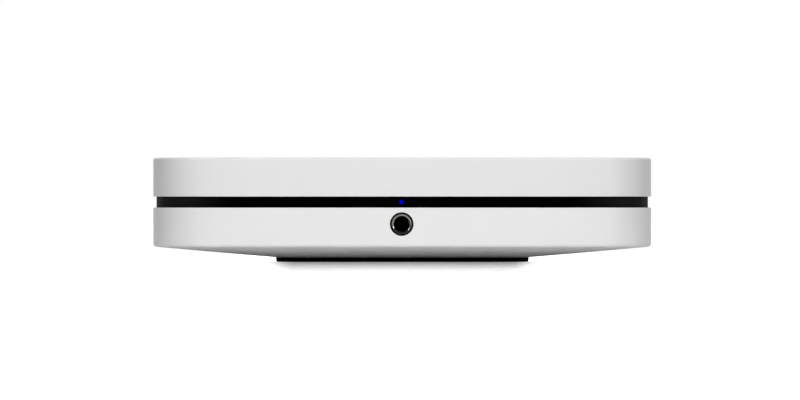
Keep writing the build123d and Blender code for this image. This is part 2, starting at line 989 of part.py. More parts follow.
def phono_collar(number):
    """Coloured ring round one phono socket."""
    inner = phono_barrel_radius - phono_barrel_step + running_gap
    end = panel_face + phono_collar_rise
    profile = ((inner, panel_back), (phono_collar_radius, panel_back), (phono_collar_radius, end), (inner, end))
    return turned(profile, phono_places[number], phono_height)


def optical_face():
    """Outer face of the optical socket."""
    return panel_face + optical_rise


def optical_port_height():
    """Height of the middle of the optical port."""
    return board_top + optical_port_lift + optical_port / 2


def shutter_pivot():
    """Place along Y and height of the shutter's pins."""
    back = optical_face() - shutter_set_back - shutter_thickness / 2
    return back, optical_port_height() + optical_port / 2 + shutter_pin_radius


def optical_socket():
    """Optical output: a block with a square port, and room behind it for the shutter to swing up."""
    face = optical_face()
    start = face - optical_depth
    body = run(upright_profile(optical_x, optical_width, optical_height, 0.0, 0.0), start, face)
    middle = optical_port_height()
    port = Pos(optical_x, middle) * Rectangle(optical_port, optical_port)
    body -= run(port, face - optical_cavity_depth, face + overrun)
    back, pin_height = shutter_pivot()
    room_half = optical_port / 2 + shutter_side_gap
    pocket = shutter_pin_radius + shutter_thickness / 2
    body -= block(
        optical_x - room_half,
        optical_x + room_half,
        face - optical_cavity_depth,
        back + shutter_thickness / 2 + running_gap,
        middle - room_half,
        pin_height + pocket,
    )
    pin = room_half + shutter_pin_reach
    body -= rod(
        shutter_pin_radius + running_gap, (optical_x - pin, back, pin_height), (optical_x + pin, back, pin_height)
    )
    return body


def optical_shutter():
    """Spring shutter that a plug pushes in, hung on two short pins."""
    back, pin_height = shutter_pivot()
    half = optical_port / 2
    low = optical_port_height() - half
    flap = block(
        optical_x - half,
        optical_x + half,
        back - shutter_thickness / 2,
        back + shutter_thickness / 2,
        low,
        pin_height,
    )
    reach = half + shutter_side_gap + shutter_pin_reach - running_gap
    pins = rod(shutter_pin_radius, (optical_x - reach, back, pin_height), (optical_x + reach, back, pin_height))
    return flap + pins


def optical_emitter():
    """Light source at the back of the optical port."""
    start = optical_face() - optical_cavity_depth
    height = optical_port_height()
    return rod(emitter_radius, (optical_x, start, height), (optical_x, start + emitter_length, height))


def mini_height_above():
    """Height of the small sockets' axis."""
    return board_top + mini_height / 2


def mini_leaf_root():
    """Place along Y of the small sockets' spring pivots."""
    return panel_face + mini_nose_rise - mini_bore_depth + 2 * mini_leaf_thickness


def mini_socket(x):
    """Small round socket: a block on the board with a round nose through the panel."""
    height = mini_height_above()
    face = panel_face + mini_nose_rise
    body = run(upright_profile(x, mini_width, mini_height, 0.0, 0.0), panel_back - mini_depth, panel_back)
    body += rod(mini_nose_radius, (x, panel_back - overrun, height), (x, face, height))
    body -= rod(mini_bore_radius, (x, face - mini_bore_depth, height), (x, face + overrun, height))
    slot = leaf_slot(
        1, 0.0, height, mini_leaf_length, mini_leaf_offset, mini_slot_radius, mini_slot_height, mini_leaf_thickness
    )
    return body - Pos(x, mini_leaf_root(), 0) * mirror(slot, Plane.XZ)


def mini_sockets():
    """The three small round sockets."""
    return Compound(children=[mini_socket(x) for x in mini_places])


def mini_spring(x):
    """Contact spring of one small socket."""
    leaf = leaf_spring(
        1, 0.0, mini_height_above(), mini_leaf_length, mini_leaf_offset, mini_leaf_reach,
        mini_leaf_height, mini_leaf_thickness,
    )
    return Pos(x, mini_leaf_root(), 0) * mirror(leaf, Plane.XZ)


def video_profile(growth):
    """The video socket's outline: wide at the top, stepped in at the foot."""
    half = video_width / 2 + growth
    foot = video_foot_width / 2 + growth
    low = board_top - growth
    high = board_top + video_height + growth
    step = board_top + video_step
    return outline_profile(
        ((video_x - foot, low), (video_x + foot, low), (video_x + half, step), (video_x + half, high),
         (video_x - half, high), (video_x - half, step))
    )


def video_shell():
    """Folded metal shell of the video socket, closed at the back."""
    face = panel_face + video_rise
    start = face - video_depth
    return run(video_profile(0.0), start, face) - run(video_profile(-video_wall), start + video_wall, face + overrun)


def video_tongue():
    """Contact tongue of the video socket."""
    half = video_tongue_width / 2
    start = panel_face + video_rise - video_depth + video_wall
    middle = board_top + (video_step + video_height) / 2
    return block(
        video_x - half, video_x + half, start, start + video_tongue_length + video_wall,
        middle - video_tongue_thickness / 2, middle + video_tongue_thickness / 2,
    )


def bus_profile(growth):
    """The serial bus socket's outline."""
    middle = board_top + bus_lift + bus_height / 2
    shape = RectangleRounded(bus_width + 2 * growth, bus_height + 2 * growth, bus_corner_radius)
    return Pos(bus_x, middle) * shape


def bus_shell():
    """Metal shell of the serial bus socket, closed at the back, on a folded foot."""
    face = panel_face + bus_rise
    start = face - bus_depth
    shell = run(bus_profile(0.0), start, face) - run(bus_profile(-bus_wall), start + bus_wall, face + overrun)
    half = bus_width / 2 - bus_corner_radius
    base = board_top + bus_lift + bus_wall / 2
    return shell + block(bus_x - half, bus_x + half, start, panel_back - fit_gap, board_top, base)


def bus_tongue():
    """Contact tongue of the serial bus socket."""
    half = bus_tongue_width / 2
    start = panel_face + bus_rise - bus_depth + bus_wall
    top = board_top + bus_lift + bus_height - bus_wall - bus_tongue_drop
    return block(
        bus_x - half, bus_x + half, start, start + bus_tongue_length, top - bus_tongue_thickness, top
    )


def socket_tongues():
    """Contact tongues of the video socket and the bus socket."""
    return Compound(children=[video_tongue(), bus_tongue()])


def network_face():
    """Outer face of the wired network socket."""
    return panel_face + network_rise


def network_shield():
    """Metal can round the network socket, open at the front and below."""
    face = network_face()
    start = face - network_depth
    can = run(upright_profile(network_x, network_width, network_height, 0.0, 0.0), start, face)
    inner_width = network_width - 2 * network_wall
    inner = upright_profile(network_x, inner_width, network_height - network_wall, 0.0, 0.0)
    cut = run(inner, start + network_wall, face + overrun)
    cut += Pos(0, 0, -network_wall) * cut
    return can - cut


def network_port_low():
    """Height of the bottom of the network socket's port."""
    return board_top + network_port_lift


def network_insert():
    """Plastic insert with the stepped port, the contacts' recess and seats for two lamps."""
    face = network_face()
    start = face - network_depth + network_wall
    width = network_width - 2 * network_wall - 2 * running_gap
    height = network_height - network_wall - running_gap
    body = run(upright_profile(network_x, width, height, 0.0, 0.0), start + running_gap, face - running_gap)
    low = network_port_low()
    port = Pos(network_x, low + network_port_height / 2) * Rectangle(network_port_width, network_port_height)
    latch_height = network_latch_height + overrun / 2
    latch_middle = low - network_latch_height + latch_height / 2
    port += Pos(network_x, latch_middle) * Rectangle(network_latch_width, latch_height)
    body -= run(port, face - network_port_depth, face + overrun)
    half = network_recess_width / 2
    recess_front = face - network_recess_start
    body -= block(
        network_x - half, network_x + half, recess_front - network_recess_depth, recess_front,
        low + network_port_height - overrun, low + network_port_height + network_recess_height,
    )
    pivot_y, pivot_height = contact_pivot()
    body -= rod(
        contact_pivot_radius + running_gap, (network_x - half, pivot_y, pivot_height),
        (network_x + half, pivot_y, pivot_height),
    )
    for x in network_lamp_places():
        body -= network_lamp(x, running_gap)
    return body


def contact_pivot():
    """Place along Y and height of the network contacts' pivot."""
    y = network_face() - network_recess_start - contact_pivot_radius
    return y, network_port_low() + network_port_height + network_recess_height - 2 * contact_pivot_radius


def network_contacts():
    """Eight sprung contact wires, sloping back and down into the port."""
    pivot_y, pivot_height = contact_pivot()
    wires = []
    for number in range(contact_count):
        x = network_x + (number - (contact_count - 1) / 2) * contact_pitch
        half = contact_width / 2
        wire = block(-half, half, -contact_length, 0, -contact_thickness / 2, contact_thickness / 2)
        wire += rod(contact_pivot_radius, (-half, 0, 0), (half, 0, 0))
        wires.append(Pos(x, pivot_y, pivot_height) * Rot(contact_slope, 0, 0) * wire)
    return Compound(children=wires)


def network_lamp_places():
    """Places along X of the network socket's two lamps."""
    offset = network_width / 2 - 2 * network_wall - network_lamp_width / 2
    return network_x - offset, network_x + offset


def network_lamp(x, growth):
    """A lamp window in the top corner of the network socket, grown by growth."""
    top = board_top + network_height - 2 * network_wall
    half = network_lamp_width / 2 + growth
    face = network_face() - running_gap
    return block(
        x - half, x + half, face - network_lamp_depth - growth, face + growth,
        top - network_lamp_height - growth, top + growth,
    )


def network_lamps():
    """Link and activity lamps."""
    return Compound(children=[network_lamp(x, 0.0) for x in network_lamp_places()])


def mains_profile(growth):
    """The mains inlet's outline."""
    shape = RectangleRounded(mains_width + 2 * growth, mains_height + 2 * growth, mains_corner_radius)
    return Pos(mains_x, board_top + mains_height / 2) * shape


def mains_inlet():
    """Two-pin mains inlet with a waisted port."""
    face = panel_face + mains_rise
    start = face - mains_depth
    body = run(mains_profile(0.0), start, face)
    middle = board_top + mains_height / 2
    port = Rectangle(mains_pin_spacing, mains_port_waist)
    for side in (-1, 1):
        port += Pos(side * mains_pin_spacing / 2, 0) * Circle(mains_port_radius)
    body -= run(Pos(mains_x, middle) * port, face - mains_port_depth, face + overrun)
    for side in (-1, 1):
        x = mains_x + side * mains_pin_spacing / 2
        body -= rod(mains_pin_radius + running_gap, (x, start - overrun, middle), (x, face, middle))
    return body


def mains_pins():
    """Two round pins of the mains inlet, each with a domed tip."""
    bottom = panel_face + mains_rise - mains_port_depth
    start = panel_face + mains_rise - mains_depth
    middle = board_top + mains_height / 2
    end = bottom + mains_pin_length
    lead = mains_pin_radius / 2
    profile = ((0, start), (mains_pin_radius, start), (mains_pin_radius, end - lead), (lead, end), (0, end))
    places = [mains_x + side * mains_pin_spacing / 2 for side in (-1, 1)]
    return Compound(children=[turned(profile, x, middle) for x in places])


def processor():
    """Main processor."""
    half = processor_side / 2
    return block(
        processor_x - half, processor_x + half, processor_y - half, processor_y + half,
        board_top, board_top + processor_height,
    )


def heat_sink():
    """Finned heat sink on the processor."""
    half = heat_sink_side / 2
    base = board_top + processor_height
    comb = Pos(processor_x, base + heat_sink_base / 2) * Rectangle(heat_sink_side, heat_sink_base)
    pitch = (heat_sink_side - heat_sink_fin) / (heat_sink_fins - 1)
    for number in range(heat_sink_fins):
        x = processor_x - half + heat_sink_fin / 2 + number * pitch
        comb += Pos(x, base + heat_sink_height / 2) * Rectangle(heat_sink_fin, heat_sink_height)
    return run(comb, processor_y - half, processor_y + half)


def wireless_module():
    """Wireless network module under its metal lid."""
    half_width = wireless_width / 2
    half_depth = wireless_depth / 2
    return block(
        wireless_x - half_width, wireless_x + half_width, wireless_y - half_depth, wireless_y + half_depth,
        board_top, board_top + wireless_height,
    )


def converter_chips():
    """Audio converter and amplifier chips."""
    half = converter_side / 2
    chips = [
        Pos(x * body_width, y * body_depth) * block(-half, half, -half, half, board_top, board_top + converter_height)
        for x, y in converter_shares
    ]
    return Compound(children=chips)


def audio_capacitors():
    """Upright capacitors of the audio output stage."""
    cans = []
    for column in range(audio_capacitor_columns):
        for row in range(audio_capacitor_rows):
            x = audio_capacitor_x_share * body_width + column * audio_capacitor_pitch
            y = audio_capacitor_y_share * body_depth + row * audio_capacitor_pitch
            cans.append(rod(audio_capacitor_radius, (x, y, board_top), (x, y, board_top + audio_capacitor_height)))
    return Compound(children=cans)


def transformer_core():
    """Ferrite core round the transformer's winding."""
    half_width = transformer_width / 2
    core_half = transformer_core_depth / 2
    low = board_top + transformer_flange
    x, y = transformer_x, transformer_y
    core = block(x - half_width, x + half_width, y - core_half, y + core_half, low, board_top + transformer_height)
    room = half_width - transformer_leg
    core -= block(
        x - room, x + room, y - core_half - overrun, y + core_half + overrun,
        low + transformer_leg, board_top + transformer_height - transformer_leg,
    )
    return core


def transformer_winding():
    """The transformer's bobbin: a foot on the board, and the taped winding through the core."""
    half_width = transformer_width / 2
    half_depth = transformer_depth / 2
    room = half_width - transformer_leg - running_gap
    core_half = transformer_core_depth / 2
    low = board_top + transformer_flange
    top = board_top + transformer_height - transformer_leg - running_gap
    x, y = transformer_x, transformer_y
    base = block(x - half_width, x + half_width, y - half_depth, y + half_depth, board_top, low)
    winding = block(x - room, x + room, y - half_depth, y + half_depth, low + transformer_leg, top)
    for side in (-1, 1):
        inner = y + side * (core_half + running_gap)
        y_low, y_high = sorted((inner, y + side * half_depth))
        winding += block(x - room, x + room, y_low, y_high, low, top)
    return base + winding


def line_choke():
    """Mains filter choke."""
    half = choke_side / 2
    return block(choke_x - half, choke_x + half, choke_y - half, choke_y + half, board_top, board_top + choke_height)


def fuse_tube():
    """Glass fuse with its end caps."""
    half = fuse_length / 2
    height = board_top + fuse_clip_height
    return rod(fuse_radius, (fuse_x, fuse_y - half, height), (fuse_x, fuse_y + half, height))


def fuse_clips():
    """Two spring clips that carry the fuse."""
    clips = []
    height = board_top + fuse_clip_height
    outer = fuse_radius + 3 * running_gap + fuse_radius / 4
    for side in (-1, 1):
        end = fuse_y + side * fuse_length / 2
        inner_end = end - side * fuse_cap_length
        low, high = sorted((end, inner_end))
        clip = block(fuse_x - outer, fuse_x + outer, low, high, board_top, height)
        clip -= rod(fuse_radius + running_gap, (fuse_x, low - overrun, height), (fuse_x, high + overrun, height))
        clips.append(clip)
    return Compound(children=clips)


def power_capacitors():
    """Reservoir capacitor and the smaller output capacitors."""
    x = reservoir_x_share * body_width
    y = reservoir_y_share * body_depth
    cans = [rod(reservoir_radius, (x, y, board_top), (x, y, board_top + reservoir_height))]
    x = output_capacitor_x_share * body_width
    for number in (0, 1):
        y = output_capacitor_y_share * body_depth + number * (2 * output_capacitor_radius + overrun)
        cans.append(rod(output_capacitor_radius, (x, y, board_top), (x, y, board_top + output_capacitor_height)))
    return Compound(children=cans)


def ribbon_drop_y():
    """Place along Y of the ribbon's upright run."""
    return ribbon_plug_y + ribbon_run + ribbon_bend_radius


def ribbon_level():
    """Height of the ribbon's level run, in the middle of its upper socket."""
    return sensor_bottom() - ribbon_upper_socket_height / 2


def touch_ribbon():
    """Flat ribbon from the touch sensor down to the main board."""
    half = ribbon_thickness / 2
    level = ribbon_level()
    bend_start = ribbon_drop_y() - ribbon_bend_radius
    drop = ribbon_drop_y()
    low = board_top + ribbon_socket_height - ribbon_grip
    turn = level - ribbon_bend_radius
    outer = ribbon_bend_radius + half
    inner = ribbon_bend_radius - half
    start = ribbon_plug_y - ribbon_grip
    edges = [
        Line((start, level - half), (start, level + half)),
        Line((start, level + half), (bend_start, level + half)),
        CenterArc((bend_start, turn), outer, 0, 90),
        Line((drop + half, turn), (drop + half, low)),
        Line((drop + half, low), (drop - half, low)),
        Line((drop - half, low), (drop - half, turn)),
        CenterArc((bend_start, turn), inner, 0, 90),
        Line((bend_start, level - half), (start, level - half)),
    ]
    side = Face(Wire.combine([edge.edge() for edge in edges], tol=join_tolerance)[0])
    upright = Plane(origin=(ribbon_x - ribbon_width / 2, 0, 0), x_dir=(0, 1, 0), z_dir=(1, 0, 0)) * side
    return extrude(upright, ribbon_width, dir=(1, 0, 0))


def board_connectors():
    """Connectors for the indicator board, the ribbon and the power leads."""
    return Compound(children=[indicator_socket()] + ribbon_sockets() + power_lead_sockets())


def ribbon_sockets():
    """The ribbon's two sockets: flat under the sensor, upright on the main board."""
    half = ribbon_width / 2 + ribbon_socket_side
    grip = ribbon_thickness / 2 + running_gap
    room = ribbon_width / 2 + running_gap
    x_low, x_high = ribbon_x - half, ribbon_x + half
    level = ribbon_level()
    upper = block(
        x_low, x_high, ribbon_plug_y - ribbon_socket_depth, ribbon_plug_y,
        sensor_bottom() - ribbon_upper_socket_height, sensor_bottom(),
    )
    upper -= block(
        ribbon_x - room, ribbon_x + room, ribbon_plug_y - ribbon_grip - running_gap, ribbon_plug_y + overrun,
        level - grip, level + grip,
    )
    drop = ribbon_drop_y()
    low = board_top + ribbon_socket_height
    lower = block(
        x_low, x_high, drop - ribbon_socket_depth / 2, drop + ribbon_socket_depth / 2, board_top, low
    )
    lower -= block(
        ribbon_x - room, ribbon_x + room, drop - grip, drop + grip, low - ribbon_grip - running_gap, low + overrun
    )
    return [upper, lower]


def lead_middle():
    """Place along X of the middle of the power lead's arch, over the gap between the boards."""
    return board_split + board_split_gap / 2


def power_lead():
    """Flat lead that arches from the power board to the main board."""
    base = board_top + lead_socket_height - lead_rise
    rise = board_top + lead_socket_height + lead_rise
    half = lead_thickness / 2
    outer = lead_span / 2 + half
    inner = lead_span / 2 - half
    middle = lead_middle()
    edges = [
        Line((middle + inner, rise), (middle + inner, base)),
        Line((middle + inner, base), (middle + outer, base)),
        Line((middle + outer, base), (middle + outer, rise)),
        CenterArc((middle, rise), outer, 0, 180),
        Line((middle - outer, rise), (middle - outer, base)),
        Line((middle - outer, base), (middle - inner, base)),
        Line((middle - inner, base), (middle - inner, rise)),
        CenterArc((middle, rise), inner, 0, 180),
    ]
    side = Face(Wire.combine([edge.edge() for edge in edges], tol=join_tolerance)[0])
    return run(side, lead_y - lead_width / 2, lead_y + lead_width / 2)


def power_lead_sockets():
    """Socket at each end of the power lead."""
    half_width = lead_socket_width / 2
    half_depth = lead_width / 2 + lead_socket_side
    room = lead_width / 2 + running_gap
    grip = lead_thickness / 2 + running_gap
    top = board_top + lead_socket_height
    sockets = []
    for side in (-1, 1):
        x = lead_middle() + side * lead_span / 2
        body = block(x - half_width, x + half_width, lead_y - half_depth, lead_y + half_depth, board_top, top)
        floor = top - lead_rise - running_gap
        sockets.append(body - block(x - grip, x + grip, lead_y - room, lead_y + room, floor, top + overrun))
    return sockets


def aerials():
    """Two flat aerials on the inside of the cover's side walls, each with its lead from the wireless module."""
    pair = []
    wall = body_width / 2 - side_wall
    low = band_top + lip_reach + aerial_lift
    top = board_top + wireless_height
    for side in (-1, 1):
        x_low, x_high = sorted((side * wall, side * (wall - aerial_thickness)))
        strip = block(x_low, x_high, -aerial_length / 2, aerial_length / 2, low, low + aerial_height)
        x = wireless_x + side * (wireless_width / 2 - aerial_lead_inset)
        end = side * (wall - aerial_thickness / 2)
        stop = side * (wall - aerial_lead_inset)
        route = (
            (x, wireless_y, top),
            (x, wireless_y, aerial_lead_height),
            (stop, wireless_y, aerial_lead_height),
            (stop, -aerial_lead_inset, low + aerial_height / 2),
            (end, -aerial_lead_inset, low + aerial_height / 2),
        )
        section = Plane(origin=route[0], z_dir=(0, 0, 1)) * Circle(aerial_lead_radius)
        pair.append(strip + sweep(section, Polyline(*route), transition=Transition.RIGHT))
    return Compound(children=pair)


pieces = {
    "top_cover": top_cover,
    "touch_panel": touch_panel,
    "touch_sensor_board": touch_sensor,
    "middle_band": middle_band,
    "bottom_case": bottom_case,
    "base_foot": base_foot,
    "rear_panel": rear_panel,
    "bay_liner": bay_liner,
    "rear_panel_screws": panel_screws,
    "case_screws": case_screws,
    "board_screws": board_screws,
    "main_board": main_board,
    "power_board": power_board,
    "indicator_board": indicator_board,
    "status_lamp": status_lamp,
    "status_light_guide": light_guide,
    "infrared_receiver": infrared_receiver,
    "headphone_socket_body": headphone_body,
    "headphone_bushing": headphone_bushing,
    "headphone_tip_spring": lambda: headphone_spring(-1, headphone_tip_leaf_length),
    "headphone_ring_spring": lambda: headphone_spring(1, headphone_ring_leaf_length),
    "phono_housings": phono_housings,
    "phono_barrels": phono_barrels,
    "phono_insulators": phono_insulators,
    "phono_contacts": phono_contacts,
    "coaxial_output_collar": lambda: phono_collar(0),
    "subwoofer_output_collar": lambda: phono_collar(1),
    "right_output_collar": lambda: phono_collar(2),
    "left_output_collar": lambda: phono_collar(3),
    "optical_socket": optical_socket,
    "optical_shutter": optical_shutter,
    "optical_emitter": optical_emitter,
    "small_sockets": mini_sockets,
    "trigger_socket_spring": lambda: mini_spring(mini_places[0]),
    "infrared_socket_spring": lambda: mini_spring(mini_places[1]),
    "line_input_spring": lambda: mini_spring(mini_places[2]),
    "video_socket_shell": video_shell,
    "bus_socket_shell": bus_shell,
    "socket_tongues": socket_tongues,
    "network_socket_shield": network_shield,
    "network_socket_insert": network_insert,
    "network_socket_contacts": network_contacts,
    "network_socket_lamps": network_lamps,
    "mains_inlet": mains_inlet,
    "mains_inlet_pins": mains_pins,
    "processor": processor,
    "heat_sink": heat_sink,
    "wireless_module": wireless_module,
    "converter_chips": converter_chips,
    "audio_capacitors": audio_capacitors,
    "transformer_core": transformer_core,
    "transformer_winding": transformer_winding,
    "line_choke": line_choke,
    "power_capacitors": power_capacitors,
    "mains_fuse": fuse_tube,
    "fuse_clips": fuse_clips,
    "board_connectors": board_connectors,
    "touch_ribbon": touch_ribbon,
    "power_lead": power_lead,
    "wireless_aerials": aerials,
}

os.makedirs("parts", exist_ok=True)
for name, make in pieces.items():
    export_step(make(), f"parts/{name}.step")
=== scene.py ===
import json
import math

import bpy
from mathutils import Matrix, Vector


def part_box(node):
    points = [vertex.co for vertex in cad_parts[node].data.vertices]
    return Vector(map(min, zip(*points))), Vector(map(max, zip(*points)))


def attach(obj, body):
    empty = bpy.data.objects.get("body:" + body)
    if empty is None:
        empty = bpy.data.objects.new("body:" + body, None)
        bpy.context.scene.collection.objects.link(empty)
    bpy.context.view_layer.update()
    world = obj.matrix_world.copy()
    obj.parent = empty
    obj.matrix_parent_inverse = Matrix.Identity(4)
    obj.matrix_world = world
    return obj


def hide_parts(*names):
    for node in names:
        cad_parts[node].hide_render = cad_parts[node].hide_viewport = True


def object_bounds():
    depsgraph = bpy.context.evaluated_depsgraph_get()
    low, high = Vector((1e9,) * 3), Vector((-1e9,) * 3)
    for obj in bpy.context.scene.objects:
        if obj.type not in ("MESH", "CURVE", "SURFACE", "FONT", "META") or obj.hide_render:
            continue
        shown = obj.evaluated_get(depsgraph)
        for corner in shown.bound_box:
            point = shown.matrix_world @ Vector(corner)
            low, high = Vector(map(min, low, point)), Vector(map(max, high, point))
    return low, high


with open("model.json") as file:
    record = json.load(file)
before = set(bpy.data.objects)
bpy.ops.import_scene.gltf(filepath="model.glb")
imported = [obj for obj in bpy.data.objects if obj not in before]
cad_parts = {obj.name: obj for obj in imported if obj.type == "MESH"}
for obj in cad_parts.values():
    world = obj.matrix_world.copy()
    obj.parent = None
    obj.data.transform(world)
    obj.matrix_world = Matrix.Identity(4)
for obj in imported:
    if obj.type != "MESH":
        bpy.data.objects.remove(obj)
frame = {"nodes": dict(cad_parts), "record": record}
cad_low, cad_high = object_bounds()

MM = 0.001
nodes = frame["nodes"]


# The camera: far off and level, as the flat sides and the straight edges show

IMAGE_WIDTH = 800
SENSOR_WIDTH = 36.0
# Image pixels per metre at the front of the object
FRONT_SCALE = 2285.0
CAMERA_DISTANCE = 4.5
CAMERA_HEIGHT = 0.02735
CAMERA_SIDE = 0.0229
AIM_SIDE = -0.00113
CLIP_START = 0.1
CLIP_END = 100.0


def make_camera():
    data = bpy.data.cameras.new("studio_camera")
    camera = bpy.data.objects.new("studio_camera", data)
    bpy.context.scene.collection.objects.link(camera)
    bpy.context.scene.camera = camera
    data.sensor_width = SENSOR_WIDTH
    data.lens = SENSOR_WIDTH * FRONT_SCALE * CAMERA_DISTANCE / IMAGE_WIDTH
    data.dof.use_dof = False
    data.clip_start = CLIP_START
    data.clip_end = CLIP_END
    place = Vector((CAMERA_SIDE, cad_low.y - CAMERA_DISTANCE, CAMERA_HEIGHT))
    aim = Vector((AIM_SIDE, 0.0, CAMERA_HEIGHT))
    camera.location = place
    camera.rotation_euler = (aim - place).to_track_quat("-Z", "Y").to_euler()


# The studio's surround

WHITE = (1.0, 1.0, 1.0, 1.0)
SURROUND_LIGHT = 0.36
# What a reflection sees overhead, as a share of white, and how high up it gets that dark
GLOSS_OVERHEAD = 0.15
GLOSS_OVERHEAD_RISE = 0.6


def add_node(tree, kind, x, y, **settings):
    node = tree.nodes.new(kind)
    node.location = (x, y)
    for name, value in settings.items():
        setattr(node, name, value)
    return node


def background_mask(tree, x, y):
    """One on a ray from the camera, a reflection or a clear piece, and zero on one that carries light."""
    path = add_node(tree, "ShaderNodeLightPath", x, y)
    first = add_node(tree, "ShaderNodeMath", x + 180, y, operation="MAXIMUM")
    tree.links.new(path.outputs["Is Camera Ray"], first.inputs[0])
    tree.links.new(path.outputs["Is Glossy Ray"], first.inputs[1])
    second = add_node(tree, "ShaderNodeMath", x + 360, y, operation="MAXIMUM")
    tree.links.new(first.outputs[0], second.inputs[0])
    tree.links.new(path.outputs["Is Transmission Ray"], second.inputs[1])
    return second.outputs[0]


def side_falloff(tree, x, y):
    """Strength of the surround's light: full ahead, above and behind, and none straight from the side."""
    place = add_node(tree, "ShaderNodeTexCoord", x, y)
    parts = add_node(tree, "ShaderNodeSeparateXYZ", x + 180, y)
    tree.links.new(place.outputs["Generated"], parts.inputs[0])
    square = add_node(tree, "ShaderNodeMath", x + 360, y, operation="MULTIPLY")
    tree.links.new(parts.outputs["X"], square.inputs[0])
    tree.links.new(parts.outputs["X"], square.inputs[1])
    strength = add_node(tree, "ShaderNodeMath", x + 540, y, operation="MULTIPLY_ADD")
    strength.inputs[1].default_value = -SURROUND_LIGHT
    strength.inputs[2].default_value = SURROUND_LIGHT
    tree.links.new(square.outputs[0], strength.inputs[0])
    return strength.outputs[0]


def gloss_falloff(tree, x, y):
    """Strength of the surround in a reflection: white behind, darker towards the camera and overhead."""
    place = add_node(tree, "ShaderNodeTexCoord", x, y)
    parts = add_node(tree, "ShaderNodeSeparateXYZ", x + 180, y)
    tree.links.new(place.outputs["Generated"], parts.inputs[0])
    # Zero straight ahead and one straight behind
    back = add_node(tree, "ShaderNodeMath", x + 360, y, operation="MULTIPLY_ADD", use_clamp=True)
    back.inputs[1].default_value = 0.5
    back.inputs[2].default_value = 0.5
    tree.links.new(parts.outputs["Y"], back.inputs[0])
    spread = add_node(tree, "ShaderNodeMath", x + 540, y, operation="SQRT")
    tree.links.new(back.outputs[0], spread.inputs[0])
    above = add_node(tree, "ShaderNodeMapRange", x + 360, y - 200, interpolation_type="SMOOTHSTEP")
    above.inputs["To Min"].default_value = 1.0
    above.inputs["To Max"].default_value = GLOSS_OVERHEAD
    above.inputs["From Max"].default_value = GLOSS_OVERHEAD_RISE
    tree.links.new(parts.outputs["Z"], above.inputs["Value"])
    level = add_node(tree, "ShaderNodeMath", x + 720, y, operation="MULTIPLY")
    tree.links.new(spread.outputs[0], level.inputs[0])
    tree.links.new(above.outputs["Result"], level.inputs[1])
    return level.outputs[0]


def make_surround():
    world = bpy.data.worlds.new("white_studio")
    bpy.context.scene.world = world
    world.use_nodes = True
    tree = world.node_tree
    tree.nodes.clear()
    output = add_node(tree, "ShaderNodeOutputWorld", 600, 0)
    mix = add_node(tree, "ShaderNodeMixShader", 400, 0)
    light = add_node(tree, "ShaderNodeBackground", 200, -100)
    light.inputs["Color"].default_value = WHITE
    tree.links.new(side_falloff(tree, -700, -200), light.inputs["Strength"])
    seen = add_node(tree, "ShaderNodeBackground", 200, -260)
    seen.inputs["Color"].default_value = WHITE
    path = add_node(tree, "ShaderNodeLightPath", -700, -500)
    strength = add_node(tree, "ShaderNodeMix", 0, -400, data_type="FLOAT")
    strength.inputs["A"].default_value = 1.0
    tree.links.new(path.outputs["Is Glossy Ray"], strength.inputs["Factor"])
    tree.links.new(gloss_falloff(tree, -1100, -700), strength.inputs["B"])
    tree.links.new(strength.outputs["Result"], seen.inputs["Strength"])
    tree.links.new(background_mask(tree, -400, 100), mix.inputs["Fac"])
    tree.links.new(light.outputs[0], mix.inputs[1])
    tree.links.new(seen.outputs[0], mix.inputs[2])
    tree.links.new(mix.outputs[0], output.inputs["Surface"])


# The floor: its own colour and glow, and where it turns from shadow to plain white

FLOOR_TONE = 0.76
FLOOR_SIDE_TONE = 0.35
FLOOR_GLOW = 0.26
# Where the shadow in the camera's view fades to plain white: beside, ahead of and behind the foot
SHADOW_HALF_WIDTH = 0.047
SHADOW_SIDE_END = 0.063
SHADOW_FRONT = -0.09
SHADOW_FRONT_END = -0.15
SHADOW_BACK = 0.04
SHADOW_BACK_END = 0.08
# The distances between which all other shadow on the floor fades to plain white
SHADOW_REACH = 0.14
SHADOW_END = 0.42
# Where the floor darkens beside the object, so that less light reaches its ends from below
DARK_SIDE_START = 0.103
DARK_SIDE_END = 0.17


def fade(tree, value, start, end, x, y):
    """Zero at start and before it, one at end and past it, and smooth between them."""
    node = add_node(tree, "ShaderNodeMapRange", x, y, interpolation_type="SMOOTHSTEP")
    node.inputs["From Min"].default_value = start
    node.inputs["From Max"].default_value = end
    tree.links.new(value, node.inputs["Value"])
    return node.outputs["Result"]


